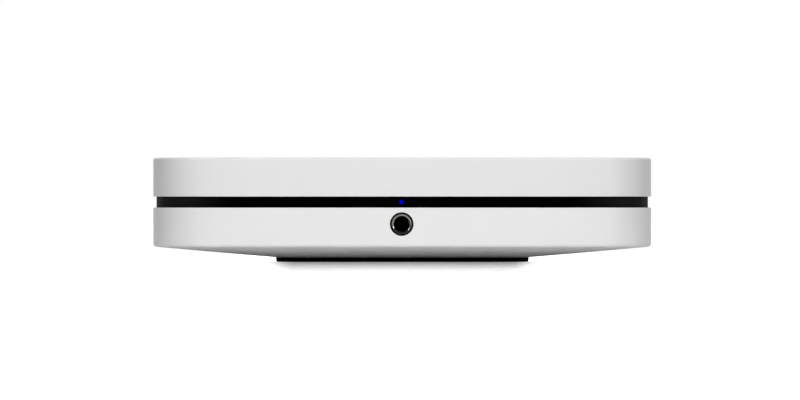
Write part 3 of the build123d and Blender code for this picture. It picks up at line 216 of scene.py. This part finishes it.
def floor_material():
    """Pale matt floor that keeps the object's shadow round the foot and is plain white further out."""
    material = bpy.data.materials.new("floor_white")
    material.use_nodes = True
    tree = material.node_tree
    tree.nodes.clear()
    output = add_node(tree, "ShaderNodeOutputMaterial", 900, 0)
    place = add_node(tree, "ShaderNodeTexCoord", -1100, -200)
    parts = add_node(tree, "ShaderNodeSeparateXYZ", -900, -100)
    tree.links.new(place.outputs["Object"], parts.inputs[0])
    side = add_node(tree, "ShaderNodeMath", -700, -100, operation="ABSOLUTE")
    tree.links.new(parts.outputs["X"], side.inputs[0])
    length = add_node(tree, "ShaderNodeVectorMath", -900, -300, operation="LENGTH")
    tree.links.new(place.outputs["Object"], length.inputs[0])
    beside = fade(tree, side.outputs[0], SHADOW_HALF_WIDTH, SHADOW_SIDE_END, -500, -100)
    ahead = fade(tree, parts.outputs["Y"], SHADOW_FRONT, SHADOW_FRONT_END, -500, 60)
    behind = fade(tree, parts.outputs["Y"], SHADOW_BACK, SHADOW_BACK_END, -500, 220)
    lengthways = add_node(tree, "ShaderNodeMath", -400, 140, operation="MAXIMUM")
    tree.links.new(ahead, lengthways.inputs[0])
    tree.links.new(behind, lengthways.inputs[1])
    outside = add_node(tree, "ShaderNodeMath", -300, 0, operation="MAXIMUM")
    tree.links.new(lengthways.outputs[0], outside.inputs[0])
    tree.links.new(beside, outside.inputs[1])
    beyond = fade(tree, length.outputs["Value"], SHADOW_REACH, SHADOW_END, -500, -350)
    path = add_node(tree, "ShaderNodeLightPath", -500, -600)
    straight = add_node(tree, "ShaderNodeMath", -300, -400, operation="MULTIPLY")
    tree.links.new(outside.outputs[0], straight.inputs[0])
    tree.links.new(path.outputs["Is Camera Ray"], straight.inputs[1])
    away = add_node(tree, "ShaderNodeMath", -300, -200, operation="MAXIMUM")
    tree.links.new(straight.outputs[0], away.inputs[0])
    tree.links.new(beyond, away.inputs[1])
    level = add_node(tree, "ShaderNodeMath", -100, -200, operation="MULTIPLY_ADD")
    level.inputs[1].default_value = 1.0 - FLOOR_GLOW
    level.inputs[2].default_value = FLOOR_GLOW
    tree.links.new(away.outputs[0], level.inputs[0])
    seen = add_node(tree, "ShaderNodeMath", 100, -100, operation="MULTIPLY")
    tree.links.new(background_mask(tree, -700, 200), seen.inputs[0])
    tree.links.new(level.outputs[0], seen.inputs[1])
    matt = add_node(tree, "ShaderNodeBsdfDiffuse", 300, 100)
    tone = add_node(tree, "ShaderNodeMapRange", 100, 100, interpolation_type="SMOOTHSTEP")
    tone.inputs["From Min"].default_value = DARK_SIDE_START
    tone.inputs["From Max"].default_value = DARK_SIDE_END
    tone.inputs["To Min"].default_value = FLOOR_TONE
    tone.inputs["To Max"].default_value = FLOOR_SIDE_TONE
    tree.links.new(side.outputs[0], tone.inputs["Value"])
    tree.links.new(tone.outputs["Result"], matt.inputs["Color"])
    glow = add_node(tree, "ShaderNodeEmission", 300, -100)
    glow.inputs["Color"].default_value = WHITE
    tree.links.new(seen.outputs[0], glow.inputs["Strength"])
    both = add_node(tree, "ShaderNodeAddShader", 600, 0)
    tree.links.new(matt.outputs[0], both.inputs[0])
    tree.links.new(glow.outputs[0], both.inputs[1])
    tree.links.new(both.outputs[0], output.inputs["Surface"])
    return material


FLOOR_RINGS = 60
FLOOR_SIDES = 96
FLOOR_FINE_RADIUS = 0.6
FLOOR_RADIUS = 12.0
FLOOR_DROP = 0.012
FLOOR_DROP_REACH = 0.16


def floor_level(x, y):
    """Height of the floor: flat under the foot, and falling a little all round it."""
    low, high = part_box("base_foot")
    out_x = max(low.x - x, x - high.x, 0.0)
    out_y = max(low.y - y, y - high.y, 0.0)
    return -FLOOR_DROP * (1 - math.exp(-math.hypot(out_x, out_y) / FLOOR_DROP_REACH))


def make_floor():
    """A round floor of rings about the object, close together near it, that sinks outside the foot."""
    bpy.ops.object.select_all(action="DESELECT")
    bpy.ops.mesh.primitive_circle_add(
        vertices=FLOOR_SIDES, radius=FLOOR_FINE_RADIUS / FLOOR_RINGS, fill_type="TRIFAN"
    )
    floor = bpy.context.object
    floor.name = "studio_floor"
    bpy.ops.object.mode_set(mode="EDIT")
    bpy.ops.mesh.select_all(action="DESELECT")
    bpy.ops.mesh.select_non_manifold()
    for ring in range(1, FLOOR_RINGS + 1):
        wider = (ring + 1) / ring if ring < FLOOR_RINGS else FLOOR_RADIUS / FLOOR_FINE_RADIUS
        bpy.ops.mesh.extrude_region_move()
        bpy.ops.transform.resize(value=(wider, wider, 1.0), center_override=(0.0, 0.0, 0.0))
    bpy.ops.object.mode_set(mode="OBJECT")
    for point in floor.data.vertices:
        point.co.z = floor_level(point.co.x, point.co.y)
    for face in floor.data.polygons:
        face.use_smooth = True
    floor.data.materials.append(floor_material())


# The lamps: name, place, width and height, power in watts, and whether it only shows as a highlight

LAMP_AIM = Vector((0.0, 0.0, 0.03))
LAMPS = (
    ("front_softbox", (-0.35, -2.2, 0.85), (0.4, 1.0), 16.0, False),
    ("front_softbox", (0.35, -2.2, 0.85), (0.4, 1.0), 16.0, False),
    ("top_softbox", (0.0, 0.1, 2.4), (0.9, 2.0), 22.0, False),
    ("rear_softbox", (0.0, 2.4, 1.1), (1.0, 1.0), 27.0, False),
    ("right_softbox", (2.4, 0.4, 0.6), (0.6, 0.6), 6.0, False),
    ("side_lamp", (-1.3, -1.3, 0.9), (0.3, 0.3), 13.0, True),
    ("side_lamp", (1.5, -1.3, 0.55), (0.3, 0.3), 13.0, True),
)


def add_lamp(name, place, size, power, highlight):
    """A softbox that lights the matt surfaces, or a small lamp that only shows as a highlight in gloss."""
    data = bpy.data.lights.new(name, "AREA")
    data.shape = "RECTANGLE"
    data.size, data.size_y = size
    data.energy = power
    lamp = bpy.data.objects.new(name, data)
    bpy.context.scene.collection.objects.link(lamp)
    lamp.location = place
    lamp.rotation_euler = (LAMP_AIM - Vector(place)).to_track_quat("-Z", "Y").to_euler()
    lamp.visible_glossy = highlight
    lamp.visible_diffuse = not highlight


def make_lamps():
    for name, place, size, power, highlight in LAMPS:
        add_lamp(name, place, size, power, highlight)


# Effects that several finishes share

CLOUD_SCALE = 30.0
CLOUD_DETAIL = 3.0
GRAIN_DETAIL = 2.0
LINE_SCALE = 900.0
LINE_DETAIL = 4.0
LINE_ROUGHNESS = 0.15
STAIN_SCALE = 160.0
STAIN_DETAIL = 5.0
RELIEF = 0.02 * MM


def new_group(name, inputs, outputs):
    group = bpy.data.node_groups.new(name, "ShaderNodeTree")
    for label, kind, value in inputs:
        socket = group.interface.new_socket(name=label, in_out="INPUT", socket_type=kind)
        socket.default_value = value
    for label, kind in outputs:
        group.interface.new_socket(name=label, in_out="OUTPUT", socket_type=kind)
    start = add_node(group, "NodeGroupInput", -900, 0)
    end = add_node(group, "NodeGroupOutput", 900, 0)
    return group, start, end


def moulded_grain_group():
    """Fine moulded surface: a slightly uneven tone, a slightly uneven gloss and a fine grain."""
    tree, start, end = new_group(
        "moulded_grain",
        [
            ("Color", "NodeSocketColor", (0.8, 0.8, 0.8, 1.0)),
            ("Roughness", "NodeSocketFloat", 0.4),
            ("Tone Variation", "NodeSocketFloat", 0.02),
            ("Gloss Variation", "NodeSocketFloat", 0.05),
            ("Grain Scale", "NodeSocketFloat", 3000.0),
            ("Grain Height", "NodeSocketFloat", 0.1),
        ],
        [("Color", "NodeSocketColor"), ("Roughness", "NodeSocketFloat"), ("Normal", "NodeSocketVector")],
    )
    place = add_node(tree, "ShaderNodeTexCoord", -900, -300)
    cloud = add_node(tree, "ShaderNodeTexNoise", -650, -100)
    cloud.inputs["Scale"].default_value = CLOUD_SCALE
    cloud.inputs["Detail"].default_value = CLOUD_DETAIL
    tree.links.new(place.outputs["Object"], cloud.inputs["Vector"])
    # The noise about its middle, so that it lightens as much as it darkens
    centred = add_node(tree, "ShaderNodeMath", -450, -100, operation="SUBTRACT")
    centred.inputs[1].default_value = 0.5
    tree.links.new(cloud.outputs["Fac"], centred.inputs[0])
    tone = add_node(tree, "ShaderNodeMath", -250, 100, operation="MULTIPLY_ADD")
    tone.inputs[2].default_value = 1.0
    tree.links.new(centred.outputs[0], tone.inputs[0])
    tree.links.new(start.outputs["Tone Variation"], tone.inputs[1])
    colour = add_node(tree, "ShaderNodeVectorMath", 0, 150, operation="SCALE")
    tree.links.new(start.outputs["Color"], colour.inputs[0])
    tree.links.new(tone.outputs[0], colour.inputs["Scale"])
    tree.links.new(colour.outputs[0], end.inputs["Color"])
    gloss = add_node(tree, "ShaderNodeMath", -250, -100, operation="MULTIPLY_ADD", use_clamp=True)
    tree.links.new(centred.outputs[0], gloss.inputs[0])
    tree.links.new(start.outputs["Gloss Variation"], gloss.inputs[1])
    tree.links.new(start.outputs["Roughness"], gloss.inputs[2])
    tree.links.new(gloss.outputs[0], end.inputs["Roughness"])
    grain = add_node(tree, "ShaderNodeTexNoise", -450, -400)
    grain.inputs["Detail"].default_value = GRAIN_DETAIL
    tree.links.new(place.outputs["Object"], grain.inputs["Vector"])
    tree.links.new(start.outputs["Grain Scale"], grain.inputs["Scale"])
    bump = add_node(tree, "ShaderNodeBump", 0, -350)
    bump.inputs["Distance"].default_value = RELIEF
    tree.links.new(grain.outputs["Fac"], bump.inputs["Height"])
    tree.links.new(start.outputs["Grain Height"], bump.inputs["Strength"])
    tree.links.new(bump.outputs["Normal"], end.inputs["Normal"])
    return tree


def drawn_metal_group():
    """Metal with fine drawn lines and a faint stain."""
    tree, start, end = new_group(
        "drawn_metal",
        [
            ("Color", "NodeSocketColor", (0.7, 0.7, 0.7, 1.0)),
            ("Roughness", "NodeSocketFloat", 0.25),
            ("Stain", "NodeSocketFloat", 0.08),
            ("Line Stretch", "NodeSocketVector", (1.0, 1.0, 12.0)),
            ("Line Depth", "NodeSocketFloat", 0.2),
        ],
        [("Color", "NodeSocketColor"), ("Roughness", "NodeSocketFloat"), ("Normal", "NodeSocketVector")],
    )
    place = add_node(tree, "ShaderNodeTexCoord", -900, -300)
    stretch = add_node(tree, "ShaderNodeVectorMath", -700, -300, operation="MULTIPLY")
    tree.links.new(place.outputs["Object"], stretch.inputs[0])
    tree.links.new(start.outputs["Line Stretch"], stretch.inputs[1])
    lines = add_node(tree, "ShaderNodeTexNoise", -500, -300)
    lines.inputs["Scale"].default_value = LINE_SCALE
    lines.inputs["Detail"].default_value = LINE_DETAIL
    tree.links.new(stretch.outputs[0], lines.inputs["Vector"])
    stain = add_node(tree, "ShaderNodeTexNoise", -500, 0)
    stain.inputs["Scale"].default_value = STAIN_SCALE
    stain.inputs["Detail"].default_value = STAIN_DETAIL
    tree.links.new(place.outputs["Object"], stain.inputs["Vector"])
    darker = add_node(tree, "ShaderNodeMath", -250, 100, operation="MULTIPLY_ADD")
    darker.inputs[2].default_value = 1.0
    tree.links.new(stain.outputs["Fac"], darker.inputs[0])
    less = add_node(tree, "ShaderNodeMath", -450, 250, operation="MULTIPLY")
    less.inputs[1].default_value = -1.0
    tree.links.new(start.outputs["Stain"], less.inputs[0])
    tree.links.new(less.outputs[0], darker.inputs[1])
    colour = add_node(tree, "ShaderNodeVectorMath", 0, 150, operation="SCALE")
    tree.links.new(start.outputs["Color"], colour.inputs[0])
    tree.links.new(darker.outputs[0], colour.inputs["Scale"])
    tree.links.new(colour.outputs[0], end.inputs["Color"])
    rough = add_node(tree, "ShaderNodeMath", 0, -50, operation="MULTIPLY_ADD", use_clamp=True)
    rough.inputs[1].default_value = LINE_ROUGHNESS
    tree.links.new(lines.outputs["Fac"], rough.inputs[0])
    tree.links.new(start.outputs["Roughness"], rough.inputs[2])
    tree.links.new(rough.outputs[0], end.inputs["Roughness"])
    bump = add_node(tree, "ShaderNodeBump", 0, -350)
    bump.inputs["Distance"].default_value = RELIEF
    tree.links.new(lines.outputs["Fac"], bump.inputs["Height"])
    tree.links.new(start.outputs["Line Depth"], bump.inputs["Strength"])
    tree.links.new(bump.outputs["Normal"], end.inputs["Normal"])
    return tree


moulded_grain = moulded_grain_group()
drawn_metal = drawn_metal_group()


def new_finish(name, group, values, shader_values):
    """Material whose colour, roughness and normal come from an effect, and the rest from plain values."""
    material = bpy.data.materials.new(name)
    material.use_nodes = True
    tree = material.node_tree
    shader = tree.nodes["Principled BSDF"]
    effect = add_node(tree, "ShaderNodeGroup", -300, 200)
    effect.node_tree = group
    for label, value in values.items():
        effect.inputs[label].default_value = value
    tree.links.new(effect.outputs["Color"], shader.inputs["Base Color"])
    tree.links.new(effect.outputs["Roughness"], shader.inputs["Roughness"])
    tree.links.new(effect.outputs["Normal"], shader.inputs["Normal"])
    for label, value in shader_values.items():
        shader.inputs[label].default_value = value
    return material


def plastic(name, colour, roughness, tone=0.03, grain=0.15, **shader_values):
    values = {
        "Color": (*colour, 1.0),
        "Roughness": roughness,
        "Tone Variation": tone,
        "Grain Height": grain,
    }
    sockets = {label.replace("_", " "): value for label, value in shader_values.items()}
    return new_finish(name, moulded_grain, values, sockets)


def metal(name, colour, roughness, stain=0.1, lines=0.2, stretch=(1.0, 1.0, 12.0)):
    values = {
        "Color": (*colour, 1.0),
        "Roughness": roughness,
        "Stain": stain,
        "Line Stretch": stretch,
        "Line Depth": lines,
    }
    return new_finish(name, drawn_metal, values, {"Metallic": 1.0})


# The finish of each material slot: name, colour and roughness, and what else sets it apart

finishes = {
    "white_shell": plastic(
        "shell_white", (0.762, 0.762, 0.762), 0.42, tone=0.01, grain=0.05, Specular_IOR_Level=0.25
    ),
    "touch_glass": plastic("touch_lens_black", (0.004, 0.004, 0.005), 0.08, tone=0.1, grain=0.0),
    "foot_rubber": plastic(
        "foot_rubber", (0.0008, 0.0008, 0.0008), 0.7, tone=0.3, grain=0.4, Specular_IOR_Level=0.02
    ),
    "black_plastic": plastic("socket_black", (0.004, 0.004, 0.004), 0.45, tone=0.2, grain=0.3, IOR=1.2),
    "green_board": plastic("board_green", (0.02, 0.12, 0.05), 0.35, tone=0.3, grain=0.2),
    "nickel": metal("pin_nickel", (0.45, 0.42, 0.38), 0.16),
    "steel": metal("screw_steel", (0.55, 0.55, 0.56), 0.28),
    "black_steel": metal("screw_black", (0.03, 0.03, 0.03), 0.35),
    "spring_alloy": metal("spring_bronze", (0.72, 0.56, 0.34), 0.22),
    "gold_plate": metal("contact_gold", (0.85, 0.62, 0.26), 0.16),
    "lamp_white": plastic("lamp_body_white", (0.85, 0.85, 0.80), 0.4),
    "natural_plastic": plastic("connector_natural", (0.80, 0.77, 0.68), 0.45),
    "orange_plastic": plastic("collar_orange", (0.85, 0.25, 0.02), 0.4),
    "red_plastic": plastic("collar_red", (0.60, 0.01, 0.01), 0.4),
    "white_plastic": plastic("collar_white", (0.80, 0.80, 0.80), 0.4),
    "clear_lamp": plastic("lamp_clear", (0.75, 0.80, 0.60), 0.15),
    "chip_black": plastic("chip_black", (0.02, 0.02, 0.022), 0.55, grain=0.4),
    "heat_sink_alloy": metal("heat_sink_black", (0.05, 0.05, 0.055), 0.45),
    "shield_tin": metal("shield_tin", (0.70, 0.70, 0.68), 0.26),
    "capacitor_sleeve": plastic("capacitor_sleeve", (0.02, 0.03, 0.07), 0.25),
    "ferrite": plastic("ferrite_grey", (0.03, 0.03, 0.032), 0.55, grain=0.5),
    "winding_tape": plastic("winding_tape", (0.75, 0.52, 0.08), 0.3),
    "choke_case": plastic("choke_case", (0.05, 0.05, 0.06), 0.5),
    "fuse_glass": plastic("fuse_glass", (0.85, 0.90, 0.90), 0.06, Transmission_Weight=0.8),
    "ribbon_white": plastic("ribbon_white", (0.80, 0.82, 0.84), 0.4),
    "lead_red": plastic("lead_red", (0.45, 0.02, 0.02), 0.4),
    "aerial_film": plastic("aerial_film", (0.10, 0.07, 0.03), 0.35),
}


# The band: matt black, with painted light that makes it paler along its length towards the rounded ends

BAND_TONE = 0.0003
# Painted light: the paler tone at the band's ends, and where along the band it comes in
BAND_PAINTED_END_TONE = 0.012
BAND_PAINTED_LIGHT_START = 0.072
BAND_PAINTED_LIGHT_END = 0.108


def band_with_painted_light():
    """Matt black with painted light that makes it a little paler towards the two rounded ends."""
    painted_end_tones = (BAND_PAINTED_END_TONE, BAND_PAINTED_END_TONE, BAND_PAINTED_END_TONE)
    material = plastic("band_black_painted_light", painted_end_tones, 0.5, tone=0.3, grain=0.05, IOR=1.04)
    tree = material.node_tree
    shader = tree.nodes["Principled BSDF"]
    grained = shader.inputs["Base Color"].links[0].from_socket
    place = add_node(tree, "ShaderNodeTexCoord", -1100, 400)
    parts = add_node(tree, "ShaderNodeSeparateXYZ", -900, 400)
    tree.links.new(place.outputs["Object"], parts.inputs[0])
    side = add_node(tree, "ShaderNodeMath", -700, 400, operation="ABSOLUTE")
    tree.links.new(parts.outputs["X"], side.inputs[0])
    # Painted light: the colour rises from plain black to the paler end tone towards each end
    painted_light = fade(tree, side.outputs[0], BAND_PAINTED_LIGHT_START, BAND_PAINTED_LIGHT_END, -500, 400)
    painted_light.node.inputs["To Min"].default_value = BAND_TONE / BAND_PAINTED_END_TONE
    colour = add_node(tree, "ShaderNodeVectorMath", -100, 400, operation="SCALE")
    tree.links.new(grained, colour.inputs[0])
    tree.links.new(painted_light, colour.inputs["Scale"])
    tree.links.new(colour.outputs[0], shader.inputs["Base Color"])
    return material


finishes["black_band"] = band_with_painted_light()


# The status light: its colour, and the soft spot that it shows

LIGHT_BLUE = (0.0, 0.0, 1.0)
LIGHT_STRENGTH = 0.56
LIGHT_SPOT_SIDE = -0.12 * MM
LIGHT_SPOT_RADIUS = 0.85 * MM
LIGHT_SPOT_END = 1.05 * MM


def lit_blue():
    """The end of the light guide: a blue spot that fades out at its edge."""
    material = plastic("light_blue", (0.0, 0.0, 0.02), 0.3, Specular_IOR_Level=0.02)
    tree = material.node_tree
    shader = tree.nodes["Principled BSDF"]
    low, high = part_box("status_light_guide")
    place = add_node(tree, "ShaderNodeTexCoord", -1300, -300)
    from_centre = add_node(tree, "ShaderNodeVectorMath", -1100, -300, operation="SUBTRACT")
    from_centre.inputs[1].default_value = (LIGHT_SPOT_SIDE, 0.0, (low.z + high.z) / 2)
    tree.links.new(place.outputs["Object"], from_centre.inputs[0])
    across = add_node(tree, "ShaderNodeVectorMath", -900, -300, operation="MULTIPLY")
    across.inputs[1].default_value = (1.0, 0.0, 1.0)
    tree.links.new(from_centre.outputs[0], across.inputs[0])
    reach = add_node(tree, "ShaderNodeVectorMath", -700, -300, operation="LENGTH")
    tree.links.new(across.outputs[0], reach.inputs[0])
    spot = fade(tree, reach.outputs["Value"], LIGHT_SPOT_END, LIGHT_SPOT_RADIUS, -500, -300)
    colour = add_node(tree, "ShaderNodeVectorMath", -300, -300, operation="SCALE")
    colour.inputs[0].default_value = LIGHT_BLUE
    tree.links.new(spot, colour.inputs["Scale"])
    tree.links.new(colour.outputs[0], shader.inputs["Emission Color"])
    shader.inputs["Emission Strength"].default_value = LIGHT_STRENGTH
    return material


finishes["blue_light"] = lit_blue()


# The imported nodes: their finishes, and round faces that look round

WELD_DISTANCE = 0.002 * MM
CREASE_ANGLE = math.radians(30.0)


def finish_node(name, slot):
    """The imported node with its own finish, and with its round faces shaded round."""
    node = nodes[name]
    node.data.materials.clear()
    node.data.materials.append(finishes[slot])
    for face in node.data.polygons:
        face.use_smooth = True
    weld = node.modifiers.new("join_corners", "WELD")
    weld.merge_threshold = WELD_DISTANCE
    crease = node.modifiers.new("keep_creases", "EDGE_SPLIT")
    crease.split_angle = CREASE_ANGLE


for row in frame["record"]["subparts"]:
    finish_node(row["node"], row["material_slot"])

# Painted light: the lower shell gets a white a shade lighter than the upper shell's, so that its wall
# shows brighter below the band
nodes["bottom_case"].data.materials[0] = plastic(
    "lower_shell_painted_lighter", (0.785, 0.785, 0.785), 0.42, tone=0.01, grain=0.05, Specular_IOR_Level=0.25
)


# The headphone bushing: turned, with a rolled mouth and a plain bore

BUSHING_SIDES = 96
BUSHING_WALL = 1.25 * MM
BUSHING_RIM = 0.25 * MM
BUSHING_EDGE = 0.15 * MM
MOUTH_DEPTH = 1.25 * MM
MOUTH_STEPS = 10


def bushing_profile():
    """Radius and depth of each ring, from the face through the rolled mouth to the back."""
    low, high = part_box("headphone_bushing")
    outer = (high.x - low.x) / 2
    rim = outer - BUSHING_RIM
    bore = outer - BUSHING_WALL
    rings = [(outer, BUSHING_EDGE), (outer - BUSHING_EDGE, 0.0)]
    for step in range(MOUTH_STEPS + 1):
        turn = math.pi / 2 * step / MOUTH_STEPS
        rings.append((bore + (rim - bore) * (1 - math.sin(turn)), MOUTH_DEPTH * (1 - math.cos(turn))))
    back = high.y - low.y
    return rings + [(bore, back), (outer, back)]


def turn_rings(name, rings, centre):
    """A closed turned shape about a line along Y, drawn out ring by ring from its first ring."""
    bpy.ops.object.select_all(action="DESELECT")
    radius, depth = rings[0]
    start = (centre.x, centre.y + depth, centre.z)
    bpy.ops.mesh.primitive_circle_add(
        vertices=BUSHING_SIDES, radius=radius, location=start, rotation=(math.pi / 2, 0.0, 0.0)
    )
    piece = bpy.context.object
    piece.name = name
    bpy.ops.object.transform_apply(location=True, rotation=True, scale=True)
    bpy.ops.object.mode_set(mode="EDIT")
    bpy.ops.mesh.select_all(action="SELECT")
    for (radius, depth), (next_radius, next_depth) in zip(rings, rings[1:] + rings[:1]):
        wider = next_radius / radius
        bpy.ops.mesh.extrude_region_move()
        bpy.ops.transform.resize(value=(wider, 1.0, wider), center_override=start)
        bpy.ops.transform.translate(value=(0.0, next_depth - depth, 0.0))
    bpy.ops.mesh.select_all(action="SELECT")
    bpy.ops.mesh.remove_doubles(threshold=WELD_DISTANCE)
    bpy.ops.mesh.normals_make_consistent(inside=False)
    bpy.ops.object.mode_set(mode="OBJECT")
    bpy.ops.object.shade_smooth_by_angle(angle=CREASE_ANGLE)
    return piece


def make_bushing():
    low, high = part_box("headphone_bushing")
    centre = Vector(((low.x + high.x) / 2, low.y, (low.z + high.z) / 2))
    bushing = turn_rings("turned_bushing", bushing_profile(), centre)
    bushing.data.materials.append(metal("bushing_nickel", (0.23, 0.21, 0.19), 0.10))
    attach(bushing, "case")
    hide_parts("headphone_bushing")


make_bushing()

make_camera()
make_surround()
make_floor()
make_lamps()

bpy.context.scene.view_settings.view_transform = "Standard"
